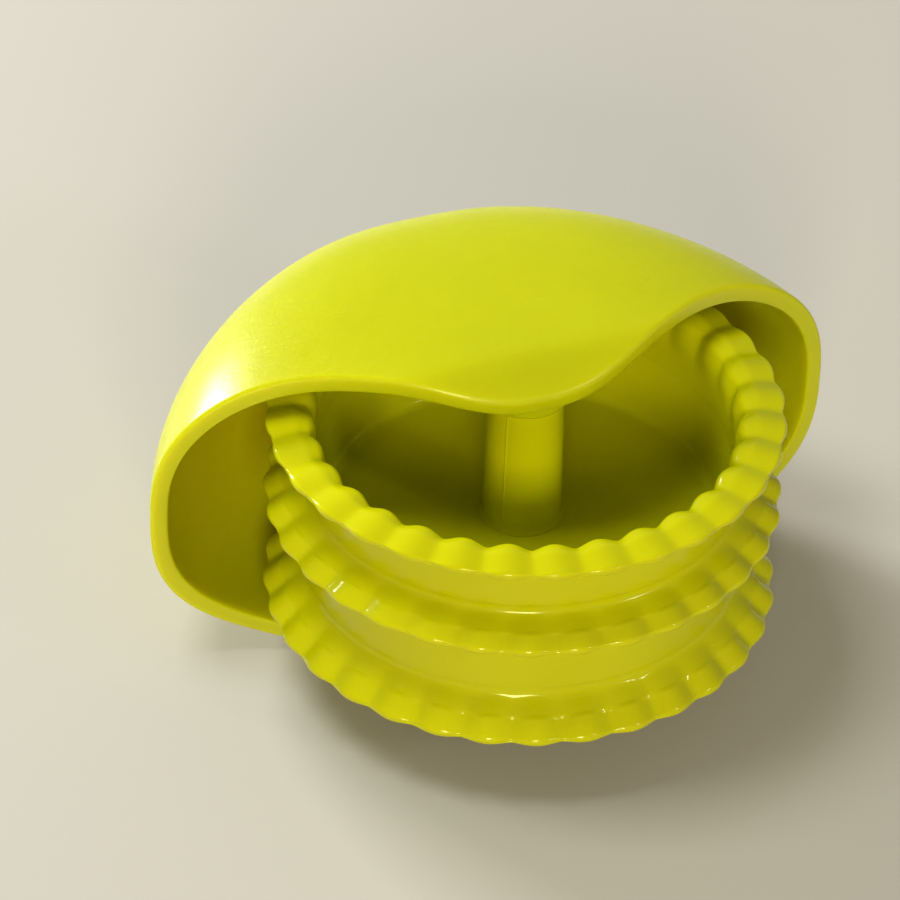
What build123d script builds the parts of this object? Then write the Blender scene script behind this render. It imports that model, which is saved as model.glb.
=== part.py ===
"""Three-wheel pastry cutter: a palm shell that carries a drum of three fluted wheels.

All sizes are in millimetres. The origin is on the drum's axis, in the plane that
the tool rests on. +Z runs up the drum's axis, -Y is the open side of the palm
shell where the wheels stick out, and +X is to the right.
"""

import math
import os

from build123d import *

# Palm shell: half sizes of its widest section and how far it reaches back
HANDLE_HALF_LENGTH = 43.8
HANDLE_HALF_HEIGHT = 21.7
HANDLE_BACK_REACH = 41.4
WIDEST_Y = 0.5
WALL = 2.1
# Roundness exponents: of the section, of the plan, of the side view, of the front droop
SECTION_ROUNDNESS = 2.7
PLAN_ROUNDNESS = 1.8
SIDE_ROUNDNESS = 3.0
DROOP_ROUNDNESS = 1.8
DROOP_REACH = 15.0
# Rim of the shell: ears at the two ends, a lobe in the middle of each side
EAR_RIM_Y = 7.5
EAR_RIM_CURVE = -0.6
EAR_RIM_SLOPE = 2.7
LOBE_TIP_Y = -5.9
LOBE_HALF_WIDTH = 20.3
LOBE_SHARPNESS = 2.4
# Flat that the tool rests on, cut off the lowest part of the lower lobe
REST_FLAT_DEPTH = 0.6

# Wheels: lip radius, how far a brim stands out of its groove, flutes, each wheel's turn
# as a share of one flute, and the width of the two strips that they cut
WHEEL_RADIUS = 30.0
BRIM_WIDTH = 4.5
FLUTE_COUNT = 32
FLUTE_DEPTH = 0.5
UPPER_FLUTE_TURN = 0.73
MIDDLE_FLUTE_TURN = 0.23
LOWER_FLUTE_TURN = 0.46
UPPER_STRIP = 11.1
LOWER_STRIP = 13.3
# Profile of a wheel's brim, as heights over the lip and steps out from the groove
LIP_THICKNESS = 0.7
RING_WALL = 1.07
MIDDLE_RIDGE_REACH = 2.6
MIDDLE_RIDGE_RISE = 1.3
MIDDLE_CORNER_RISE = 2.3
LOWER_RIDGE_REACH = 2.3
LOWER_RIDGE_RISE = 2.0
LOWER_CORNER_RISE = 3.5
BRIM_UNDERSIDE = 1.0
UNDERSIDE_REACH = 2.3
COLLAR_REACH = 1.2
COLLAR_HEIGHT = 0.9
# Rim of the upper wheel: a low crest, as steps in from the lip, and the cup's edge
CREST_INSET = 3.4
CREST_RISE = 1.0
CREST_WIDTH = 5.1
CREST_EDGE_RISE = 0.5
UPPER_CUP_STEP = 0.4

# Drum core: web across the middle and a tapered cup wall on each side of it
CUP_FLARE = 0.6
CUP_WALL = 0.9
WEB_THICKNESS = 2.0
WEB_TOP_BELOW_MIDDLE = 2.5
CORE_TOP_ABOVE_MIDDLE = 5.4
LEDGE_THICKNESS = 0.8
LEDGE_WIDTH = 1.2
DRUM_ABOVE_HANDLE_MIDDLE = 0.65

# Posts on the web, with a foot ring and a spigot that joins them through the web
POST_FOOT_RADIUS = 4.65
POST_TIP_RADIUS = 4.35
FOOT_RING_RADIUS = 4.95
FOOT_RING_HEIGHT = 0.35
FOOT_RING_BEVEL = 0.1
SPIGOT_RADIUS = 3.5
SPIGOT_REACH = 1.5
SPIGOT_END_GAP = 0.1
POST_BORE_RADIUS = 2.4

# Bearing: steel pin, bushes in the posts' ends and thrust washers on the bosses
PIN_RADIUS = 2.0
PIN_HEAD_RADIUS = 3.6
PIN_HEAD_THICKNESS = 1.2
PIN_TIP_CHAMFER = 0.4
PIN_SEAT_DEPTH = 3.2
PIN_END_GAP = 0.2
BUSH_RADIUS = 3.1
BUSH_LENGTH = 7.0
BUSH_END_GAP = 0.2
BUSH_FLANGE_RADIUS = 3.6
BUSH_FLANGE_THICKNESS = 0.6
FLANGE_PROUD = 0.07
WASHER_RADIUS = 3.8
WASHER_THICKNESS = 0.5
WASHER_PROUD = 0.08
BOSS_RADIUS = 5.0
BOSS_FACE = 15.4
PLUG_THICKNESS = 1.0
PLUG_RECESS = 0.6
PLUG_CHAMFER = 0.2
HEAD_POCKET_DEPTH = 3.0

# Clearances
RUNNING_CLEARANCE = 0.05
FIT_CLEARANCE = 0.03
STACK_CLEARANCE = 0.02
END_PLAY = 0.15
# How far a cutter runs past the piece that it cuts
OVERCUT = 1.0

# Heights and radii that follow from the values above
HANDLE_MIDDLE = HANDLE_HALF_HEIGHT - REST_FLAT_DEPTH
DRUM_MIDDLE = HANDLE_MIDDLE + DRUM_ABOVE_HANDLE_MIDDLE
LOWER_LIP = DRUM_MIDDLE - (UPPER_STRIP + LOWER_STRIP) / 2
MIDDLE_LIP = LOWER_LIP + LOWER_STRIP
UPPER_LIP = MIDDLE_LIP + UPPER_STRIP
WEB_TOP = DRUM_MIDDLE - WEB_TOP_BELOW_MIDDLE
WEB_BOTTOM = WEB_TOP - WEB_THICKNESS
DRUM_BOTTOM = LOWER_LIP - BRIM_UNDERSIDE
CORE_BOTTOM = DRUM_BOTTOM + LEDGE_THICKNESS + STACK_CLEARANCE
CORE_TOP = DRUM_MIDDLE + CORE_TOP_ABOVE_MIDDLE
GROOVE_RADIUS = WHEEL_RADIUS - BRIM_WIDTH
SEAT_RADIUS = GROOVE_RADIUS - RING_WALL
CORE_RADIUS = SEAT_RADIUS - FIT_CLEARANCE
CUP_MOUTH_RADIUS = CORE_RADIUS - CUP_WALL
CUP_FLOOR_RADIUS = CUP_MOUTH_RADIUS - CUP_FLARE
UNDERSIDE_RADIUS = GROOVE_RADIUS + UNDERSIDE_REACH
UPPER_BOSS_FACE = HANDLE_MIDDLE + BOSS_FACE
LOWER_BOSS_FACE = HANDLE_MIDDLE - BOSS_FACE
WASHER_SEAT_DEPTH = WASHER_THICKNESS - WASHER_PROUD
FLANGE_SEAT_DEPTH = BUSH_FLANGE_THICKNESS - FLANGE_PROUD
UPPER_POST_END = UPPER_BOSS_FACE - WASHER_PROUD - END_PLAY - FLANGE_PROUD
LOWER_POST_END = LOWER_BOSS_FACE + WASHER_PROUD + END_PLAY + FLANGE_PROUD


def falloff(distance, reach, roundness):
    """Share of the full size that is left at a distance along a rounded outline."""
    share = min(max(distance / reach, 0.0), 1.0)
    return (1.0 - share**roundness) ** (1.0 / roundness)


def shell_half_sizes(y, inset):
    """Half width and half height of the palm shell's section at y, set in by inset."""
    back = HANDLE_BACK_REACH - inset - WIDEST_Y
    half_width = (HANDLE_HALF_LENGTH - inset) * falloff(y - WIDEST_Y, back, PLAN_ROUNDNESS)
    half_height = (HANDLE_HALF_HEIGHT - inset) * falloff(y - WIDEST_Y, back, SIDE_ROUNDNESS)
    half_height *= falloff(WIDEST_Y - y, DROOP_REACH, DROOP_ROUNDNESS)
    return half_width, half_height


def rounded_section(y, inset):
    """Closed section of the palm shell at y: an oval with blunt ends."""
    half_width, half_height = shell_half_sizes(y, inset)
    plane = Plane(origin=(0, y, HANDLE_MIDDLE), x_dir=(1, 0, 0), z_dir=(0, -1, 0))
    points = []
    for step in range(32):
        angle = 2 * math.pi * step / 32
        across, up = math.cos(angle), math.sin(angle)
        reach = (abs(across) ** SECTION_ROUNDNESS + abs(up) ** SECTION_ROUNDNESS) ** (
            -1 / SECTION_ROUNDNESS
        )
        points.append((half_width * across * reach, half_height * up * reach))
    return plane * make_face(Spline(*points, periodic=True))


def shell_body(inset):
    """Solid inside the palm shell's surface, set in by inset, from its front to its back."""
    front = LOBE_TIP_Y - 2 * OVERCUT
    back = HANDLE_BACK_REACH - inset
    stations = [front, (2 * front + WIDEST_Y) / 3, (front + 2 * WIDEST_Y) / 3]
    for step in range(10):
        stations.append(WIDEST_Y + (back - WIDEST_Y) * math.sin(math.radians(9.3 * step)))
    return loft([rounded_section(y, inset) for y in stations])


def rim_y(x, height):
    """Y of the rim's cut at x and at a height from the shell's middle plane."""
    lobe = math.exp(-((abs(x) / LOBE_HALF_WIDTH) ** LOBE_SHARPNESS))
    ear = EAR_RIM_Y + EAR_RIM_CURVE * (1 - (height / HANDLE_HALF_HEIGHT) ** 2)
    ear += EAR_RIM_SLOPE * (x / HANDLE_HALF_LENGTH) ** 2
    return ear + (LOBE_TIP_Y - ear) * lobe


def rim_cutter():
    """Everything in front of the waved rim."""
    half_x, half_z = HANDLE_HALF_LENGTH + 4 * OVERCUT, HANDLE_HALF_HEIGHT + 3 * OVERCUT
    rows = []
    for i in range(41):
        x = half_x * (i - 20) / 20
        row = []
        for j in range(11):
            height = half_z * (j - 5) / 5
            row.append(Vector(x, rim_y(x, height), HANDLE_MIDDLE + height))
        rows.append(row)
    wave = Face.make_surface_from_array_of_points(rows)
    return extrude(wave, amount=HANDLE_BACK_REACH, dir=(0, -1, 0))


def cylinder(radius, bottom, top):
    """Upright cylinder on the drum's axis between two heights."""
    return Pos(0, 0, bottom) * Cylinder(
        radius, top - bottom, align=(Align.CENTER, Align.CENTER, Align.MIN)
    )


def turned(points):
    """Ring turned about the drum's axis from (radius, height) points."""
    return revolve(Plane.XZ * make_face(Polyline(*points, close=True)), Axis.Z)


def scalloped_blank(bottom, top, phase):
    """Disc with the wheels' scalloped outline, turned by a share of one flute."""
    half_flute = math.pi / FLUTE_COUNT

    def rim_point(half_steps, radius):
        angle = half_flute * (half_steps + 2 * phase)
        return radius * math.cos(angle), radius * math.sin(angle)

    middle = WHEEL_RADIUS - FLUTE_DEPTH / 2
    arcs = []
    for half in range(2 * FLUTE_COUNT):
        reach = WHEEL_RADIUS if half % 2 == 0 else WHEEL_RADIUS - FLUTE_DEPTH
        arcs.append(ThreePointArc(
            rim_point(half - 0.5, middle), rim_point(half, reach), rim_point(half + 0.5, middle)
        ))
    outline = Plane.XY.offset(bottom) * make_face(Wire(arcs))
    return extrude(outline, amount=top - bottom)


def handle_shell():
    """One-piece palm shell with a boss in each lobe for the axle pin."""
    outer = shell_body(0.0)
    inner = shell_body(WALL)
    shell = outer - inner
    bosses = cylinder(BOSS_RADIUS, UPPER_BOSS_FACE, 3 * HANDLE_MIDDLE)
    bosses += cylinder(BOSS_RADIUS, -HANDLE_MIDDLE, LOWER_BOSS_FACE)
    shell = shell - rim_cutter() + (bosses & outer)
    below = HANDLE_HALF_LENGTH + HANDLE_BACK_REACH
    shell -= Box(2 * below, 2 * below, below, align=(Align.CENTER, Align.CENTER, Align.MAX))
    pin_bore = PIN_RADIUS + FIT_CLEARANCE
    shell -= cylinder(pin_bore, UPPER_BOSS_FACE - OVERCUT, pin_tip() + PIN_END_GAP)
    shell -= cylinder(pin_bore, -OVERCUT, LOWER_BOSS_FACE + OVERCUT)
    shell -= cylinder(PIN_HEAD_RADIUS + 2 * FIT_CLEARANCE, -OVERCUT, HEAD_POCKET_DEPTH)
    seat = WASHER_RADIUS + FIT_CLEARANCE
    shell -= cylinder(seat, UPPER_BOSS_FACE - OVERCUT, UPPER_BOSS_FACE + WASHER_SEAT_DEPTH)
    shell -= cylinder(seat, LOWER_BOSS_FACE - WASHER_SEAT_DEPTH, LOWER_BOSS_FACE + OVERCUT)
    return shell


def pin_tip():
    """Height of the axle pin's upper end, inside the upper boss's blind bore."""
    return UPPER_BOSS_FACE + PIN_SEAT_DEPTH


def axle_pin():
    """Steel pin with a flat head, pushed up through the lower lobe."""
    head_top = HEAD_POCKET_DEPTH - STACK_CLEARANCE
    shank = cylinder(PIN_RADIUS, head_top - PIN_HEAD_THICKNESS, pin_tip())
    shank = chamfer(shank.edges().sort_by(Axis.Z)[-1], PIN_TIP_CHAMFER)
    return shank + cylinder(PIN_HEAD_RADIUS, head_top - PIN_HEAD_THICKNESS, head_top)


def axle_plug():
    """Cap that closes the pin's pocket under the lower lobe."""
    plug = cylinder(PIN_HEAD_RADIUS + FIT_CLEARANCE, PLUG_RECESS, PLUG_RECESS + PLUG_THICKNESS)
    return chamfer(plug.edges().sort_by(Axis.Z)[0], PLUG_CHAMFER)


def thrust_washer(bottom):
    """Thin washer on the axle pin, in the seat of a boss."""
    top = bottom + WASHER_THICKNESS
    bore = cylinder(PIN_RADIUS + RUNNING_CLEARANCE, bottom - OVERCUT, top + OVERCUT)
    return cylinder(WASHER_RADIUS, bottom, top) - bore


def drum_core():
    """Web and cup walls in one piece: the drum's frame, with a hole for the spigot."""
    top, bottom = CORE_TOP + OVERCUT, CORE_BOTTOM - OVERCUT
    wall = cylinder(CORE_RADIUS, CORE_BOTTOM, CORE_TOP)
    upper_cup = turned([
        (0, WEB_TOP), (CUP_FLOOR_RADIUS, WEB_TOP), (CUP_MOUTH_RADIUS, top), (0, top),
    ])
    lower_cup = turned([
        (0, WEB_BOTTOM), (CUP_FLOOR_RADIUS, WEB_BOTTOM), (CUP_MOUTH_RADIUS, bottom), (0, bottom),
    ])
    hole = cylinder(SPIGOT_RADIUS + FIT_CLEARANCE, WEB_BOTTOM - OVERCUT, WEB_TOP + OVERCUT)
    return wall - upper_cup - lower_cup - hole


def post(foot, end):
    """Tapered post from its foot on the web to its end, with a foot ring and bush seat."""
    way = 1 if end > foot else -1
    ring_top = foot + way * FOOT_RING_HEIGHT
    body = turned([
        (0, foot), (FOOT_RING_RADIUS, foot), (FOOT_RING_RADIUS, ring_top - way * FOOT_RING_BEVEL),
        (POST_FOOT_RADIUS, ring_top), (POST_TIP_RADIUS, end), (0, end),
    ])
    low, high = min(foot, end), max(foot, end)
    body -= cylinder(POST_BORE_RADIUS, low - OVERCUT, high + OVERCUT)
    flange_floor, past_end = end - way * FLANGE_SEAT_DEPTH, end + way * OVERCUT
    seat = sorted((flange_floor - way * BUSH_LENGTH, past_end))
    body -= cylinder(BUSH_RADIUS + FIT_CLEARANCE, seat[0], seat[1])
    seat = sorted((flange_floor, past_end))
    return body - cylinder(BUSH_FLANGE_RADIUS + FIT_CLEARANCE, seat[0], seat[1])


def upper_post():
    """Post in the upper cup, with the spigot that passes through the web."""
    tip, foot = WEB_BOTTOM - SPIGOT_REACH, WEB_TOP + STACK_CLEARANCE
    spigot = cylinder(SPIGOT_RADIUS, tip, foot)
    spigot -= cylinder(POST_BORE_RADIUS, tip - OVERCUT, foot + OVERCUT)
    return post(foot, UPPER_POST_END) + spigot


def lower_post():
    """Post in the lower cup, with the socket that takes the spigot's end."""
    foot = WEB_BOTTOM - STACK_CLEARANCE
    depth = WEB_BOTTOM - SPIGOT_REACH - SPIGOT_END_GAP
    return post(foot, LOWER_POST_END) - cylinder(SPIGOT_RADIUS + FIT_CLEARANCE, depth, foot + OVERCUT)


def bush(end, way):
    """Flanged bearing bush in a post's end; way is 1 for the upper post, -1 for the lower."""
    face, floor = end + way * FLANGE_PROUD, end - way * FLANGE_SEAT_DEPTH
    flange = sorted((floor + way * STACK_CLEARANCE, face))
    sleeve = sorted((floor - way * (BUSH_LENGTH - BUSH_END_GAP), face))
    body = cylinder(BUSH_FLANGE_RADIUS, flange[0], flange[1])
    body += cylinder(BUSH_RADIUS, sleeve[0], sleeve[1])
    return body - cylinder(PIN_RADIUS + RUNNING_CLEARANCE, sleeve[0] - OVERCUT, sleeve[1] + OVERCUT)


def brim_profile(lip, ridge_reach, ridge_rise, corner_rise):
    """Outline of a wheel's brim from its bore to its lip and back along the underside."""
    half_lip = LIP_THICKNESS / 2
    return [
        (SEAT_RADIUS, lip + corner_rise),
        (GROOVE_RADIUS, lip + corner_rise),
        (GROOVE_RADIUS + ridge_reach, lip + ridge_rise),
        (WHEEL_RADIUS, lip + half_lip),
        (WHEEL_RADIUS, lip - half_lip),
        (UNDERSIDE_RADIUS, lip - BRIM_UNDERSIDE),
        (SEAT_RADIUS, lip - BRIM_UNDERSIDE),
    ]


def fluted(ring, phase):
    """Ring with the scalloped outline cut into its lip."""
    box = ring.bounding_box()
    return ring & scalloped_blank(box.min.Z - OVERCUT, box.max.Z + OVERCUT, phase)


def middle_wheel():
    """Wheel between the two strips."""
    profile = brim_profile(MIDDLE_LIP, MIDDLE_RIDGE_REACH, MIDDLE_RIDGE_RISE, MIDDLE_CORNER_RISE)
    return fluted(turned(profile), MIDDLE_FLUTE_TURN)


def lower_wheel():
    """Wheel at the bottom, with a ledge under the core's wall."""
    ring = turned(
        brim_profile(LOWER_LIP, LOWER_RIDGE_REACH, LOWER_RIDGE_RISE, LOWER_CORNER_RISE)
    )
    inner, top = CORE_RADIUS - LEDGE_WIDTH, DRUM_BOTTOM + LEDGE_THICKNESS
    ledge = turned([
        (inner, DRUM_BOTTOM), (GROOVE_RADIUS, DRUM_BOTTOM), (GROOVE_RADIUS, top), (inner, top),
    ])
    return fluted(ring + ledge, LOWER_FLUTE_TURN)


def upper_wheel():
    """Wheel at the top: the cup's crest, and a skirt that nests on the core's wall."""
    half_lip = LIP_THICKNESS / 2
    skirt_bottom = MIDDLE_LIP + MIDDLE_CORNER_RISE + STACK_CLEARANCE
    core_ledge = CORE_TOP + STACK_CLEARANCE
    collar = UPPER_LIP - BRIM_UNDERSIDE - COLLAR_HEIGHT
    ring = turned([
        (SEAT_RADIUS, skirt_bottom),
        (GROOVE_RADIUS, skirt_bottom),
        (GROOVE_RADIUS, collar),
        (GROOVE_RADIUS + COLLAR_REACH, collar),
        (GROOVE_RADIUS + COLLAR_REACH, UPPER_LIP - BRIM_UNDERSIDE),
        (UNDERSIDE_RADIUS, UPPER_LIP - BRIM_UNDERSIDE),
        (WHEEL_RADIUS, UPPER_LIP - half_lip),
        (WHEEL_RADIUS, UPPER_LIP + half_lip),
        (WHEEL_RADIUS - CREST_INSET, UPPER_LIP + CREST_RISE),
        (WHEEL_RADIUS - CREST_WIDTH, UPPER_LIP + CREST_EDGE_RISE),
        (CORE_RADIUS - UPPER_CUP_STEP, core_ledge),
        (SEAT_RADIUS, core_ledge),
    ])
    return fluted(ring, UPPER_FLUTE_TURN)


def groove_sleeve():
    """Smooth sleeve that spaces the lower and the middle wheel."""
    bottom = LOWER_LIP + LOWER_CORNER_RISE + STACK_CLEARANCE
    top = MIDDLE_LIP - BRIM_UNDERSIDE - STACK_CLEARANCE
    return turned([
        (SEAT_RADIUS, bottom), (GROOVE_RADIUS, bottom), (GROOVE_RADIUS, top), (SEAT_RADIUS, top),
    ])


def main():
    """Build every piece and write one file for each."""
    os.makedirs("parts", exist_ok=True)
    pieces = {
        "handle_shell": handle_shell(),
        "axle_pin": axle_pin(),
        "axle_plug": axle_plug(),
        "upper_washer": thrust_washer(UPPER_BOSS_FACE - WASHER_PROUD),
        "lower_washer": thrust_washer(LOWER_BOSS_FACE - WASHER_SEAT_DEPTH),
        "drum_core": drum_core(),
        "upper_post": upper_post(),
        "lower_post": lower_post(),
        "upper_bush": bush(UPPER_POST_END, 1),
        "lower_bush": bush(LOWER_POST_END, -1),
        "upper_wheel": upper_wheel(),
        "middle_wheel": middle_wheel(),
        "lower_wheel": lower_wheel(),
        "groove_sleeve": groove_sleeve(),
    }
    for name, shape in pieces.items():
        export_step(shape, f"parts/{name}.step")
        box = shape.bounding_box()
        print(name, "volume", round(shape.volume, 1), "box", box.min, box.max)


if __name__ == "__main__":
    main()
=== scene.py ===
"""Looks of a palm-held pastry cutter with a drum of three fluted wheels.

Everything is in metres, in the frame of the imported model: the origin is on the
drum's axis in the plane that the tool rests on, +Z runs up the drum's axis and
-Y is the open side of the palm shell.
"""

from __future__ import annotations

import logging
import math
from dataclasses import dataclass
from enum import Enum

import bpy
import numpy as np
from mathutils import Matrix, Vector

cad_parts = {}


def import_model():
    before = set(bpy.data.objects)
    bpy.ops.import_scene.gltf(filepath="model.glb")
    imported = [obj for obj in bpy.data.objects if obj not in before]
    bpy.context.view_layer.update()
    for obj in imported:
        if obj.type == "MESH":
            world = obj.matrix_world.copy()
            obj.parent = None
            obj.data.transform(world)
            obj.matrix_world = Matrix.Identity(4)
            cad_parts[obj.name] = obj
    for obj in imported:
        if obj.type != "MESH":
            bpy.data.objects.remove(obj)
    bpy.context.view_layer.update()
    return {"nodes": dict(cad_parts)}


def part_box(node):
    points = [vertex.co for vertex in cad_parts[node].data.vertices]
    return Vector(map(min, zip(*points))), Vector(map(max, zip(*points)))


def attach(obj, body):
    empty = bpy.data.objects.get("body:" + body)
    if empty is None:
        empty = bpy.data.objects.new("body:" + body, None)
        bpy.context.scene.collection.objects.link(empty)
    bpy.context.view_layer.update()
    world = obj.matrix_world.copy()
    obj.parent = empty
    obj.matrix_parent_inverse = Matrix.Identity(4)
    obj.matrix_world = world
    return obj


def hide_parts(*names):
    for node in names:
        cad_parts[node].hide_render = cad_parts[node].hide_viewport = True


LOG = logging.getLogger("pastry_cutter")

Array = np.ndarray
Tree = bpy.types.NodeTree
Node = bpy.types.Node
Socket = bpy.types.NodeSocket
Piece = bpy.types.Object


class Body(Enum):
    """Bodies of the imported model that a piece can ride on."""

    HANDLE = "handle"
    DRUM = "drum"


class Slot(Enum):
    """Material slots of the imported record."""

    SHELL = "shell_plastic"
    DRUM = "drum_plastic"
    PIN = "pin_steel"
    BEARING = "bearing_plastic"


# Heights of the wheels' lips and of the cup's floor, and the drum's shared radii
LOWER_LIP = 0.00955
MIDDLE_LIP = 0.02285
UPPER_LIP = 0.03395
WEB_TOP = 0.01925
WEB_BOTTOM = 0.01725
SEAT_RADIUS = 0.02443
GROOVE_RADIUS = 0.02550
CUP_RADIUS = 0.02400

# How far the cup's top stands over its CAD node, the gap between drum pieces that
# meet, and the slack of a seat round the piece that it holds
CORE_TOP_RISE = 0.00001
JOINT_GAP = 0.000005
SEAT_SLACK = 0.00003

# Largest steps along the sections, steps round the drum, and the angle of a sharp edge
TURNED_SPACING = 0.0006
WHEEL_SPACING = 0.00024
DRUM_STEPS = 640
CREASE_ANGLE = math.radians(50.0)


# Shared shader effects


def new_group(name: str, inputs: dict[str, float], *outputs: str) -> tuple[Tree, Node, Node]:
    """Make an empty shader node group with named float sockets.

    Args:
        name: Name of the group.
        inputs: Inputs and their default values.
        outputs: Names of the outputs.

    Returns:
        The node group, its input node and its output node.
    """
    kind = "NodeSocketFloat"
    group = bpy.data.node_groups.new(name, "ShaderNodeTree")
    for label, value in inputs.items():
        socket = group.interface.new_socket(label, in_out="INPUT", socket_type=kind)
        socket.default_value = value
    for label in outputs:
        group.interface.new_socket(label, in_out="OUTPUT", socket_type=kind)
    return group, group.nodes.new("NodeGroupInput"), group.nodes.new("NodeGroupOutput")


def add_math(tree: Tree, operation: str, first: object, second: object = 0.0) -> Socket:
    """Add a Math node to a tree.

    Args:
        tree: Node tree to add to.
        operation: Name of the operation.
        first: Socket or number for the first operand.
        second: Socket or number for the second operand.

    Returns:
        The node's output socket.
    """
    node = tree.nodes.new("ShaderNodeMath")
    node.operation = operation
    for socket, value in zip(node.inputs, (first, second)):
        if isinstance(value, Socket):
            tree.links.new(value, socket)
        else:
            socket.default_value = value
    return node.outputs[0]


def add_noise(tree: Tree, place: Socket, scale: Socket, detail: float, warp: float = 0.0) -> Socket:
    """Add a noise texture to a tree.

    Args:
        tree: Node tree to add to.
        place: Socket of the coordinates.
        scale: Socket of the scale.
        detail: Number of finer layers.
        warp: Distortion.

    Returns:
        The noise's factor socket.
    """
    noise = tree.nodes.new("ShaderNodeTexNoise")
    noise.inputs["Detail"].default_value = detail
    noise.inputs["Distortion"].default_value = warp
    tree.links.new(place, noise.inputs["Vector"])
    tree.links.new(scale, noise.inputs["Scale"])
    return noise.outputs["Fac"]


class SharedEffects:
    """Node groups that more than one finish uses, each built once."""

    def __init__(self) -> None:
        """Build the groups."""
        self.grain = self._moulded_grain()
        self.scratches = self._fine_scratches()
        self.flow = self._flow_tint()

    def _moulded_grain(self) -> Tree:
        """Orange-peel grain: a fine noise over a coarser one, as a height and a mask.

        Returns:
            The group. Its mask is the coarser noise alone.
        """
        scales = {"Fine Scale": 2600.0, "Coarse Scale": 420.0, "Coarse Share": 0.45}
        group, source, sink = new_group("moulded_grain", scales, "Height", "Mask")
        place = group.nodes.new("ShaderNodeTexCoord").outputs["Object"]
        fine = add_noise(group, place, source.outputs["Fine Scale"], 3.0)
        coarse = add_noise(group, place, source.outputs["Coarse Scale"], 1.0)
        share = add_math(group, "MULTIPLY", coarse, source.outputs["Coarse Share"])
        group.links.new(add_math(group, "ADD", fine, share), sink.inputs["Height"])
        group.links.new(coarse, sink.inputs["Mask"])
        return group

    def _fine_scratches(self) -> Tree:
        """Hairline rub marks: two noises stretched along crossing directions, thresholded.

        Returns:
            The group. Its mask is how far both noises pass the threshold, times a gain.
        """
        shape = {"Scale": 160.0, "Threshold": 0.66}
        group, source, sink = new_group("fine_scratches", shape, "Mask")
        place = group.nodes.new("ShaderNodeTexCoord").outputs["Object"]
        gain = 9.0
        marks = []
        for turn, stretch in ((0.5, 14.0), (-0.9, 11.0)):
            mapping = group.nodes.new("ShaderNodeMapping")
            mapping.inputs["Rotation"].default_value = (0.3, 0.2, turn)
            mapping.inputs["Scale"].default_value = (1.0, stretch, stretch)
            group.links.new(place, mapping.inputs["Vector"])
            noise = add_noise(group, mapping.outputs["Vector"], source.outputs["Scale"], 2.0)
            over = add_math(group, "SUBTRACT", noise, source.outputs["Threshold"])
            marks.append(add_math(group, "MAXIMUM", over, 0.0))
        both = add_math(group, "ADD", *marks)
        group.links.new(add_math(group, "MULTIPLY", both, gain), sink.inputs["Mask"])
        return group

    def _flow_tint(self) -> Tree:
        """Slow drift of the plastic's tone through the piece.

        Returns:
            The group, whose mask lies around one half.
        """
        group, source, sink = new_group("flow_tint", {"Scale": 34.0}, "Mask")
        place = group.nodes.new("ShaderNodeTexCoord").outputs["Object"]
        noise = add_noise(group, place, source.outputs["Scale"], 2.0, warp=0.6)
        group.links.new(noise, sink.inputs["Mask"])
        return group


# Finishes


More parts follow.
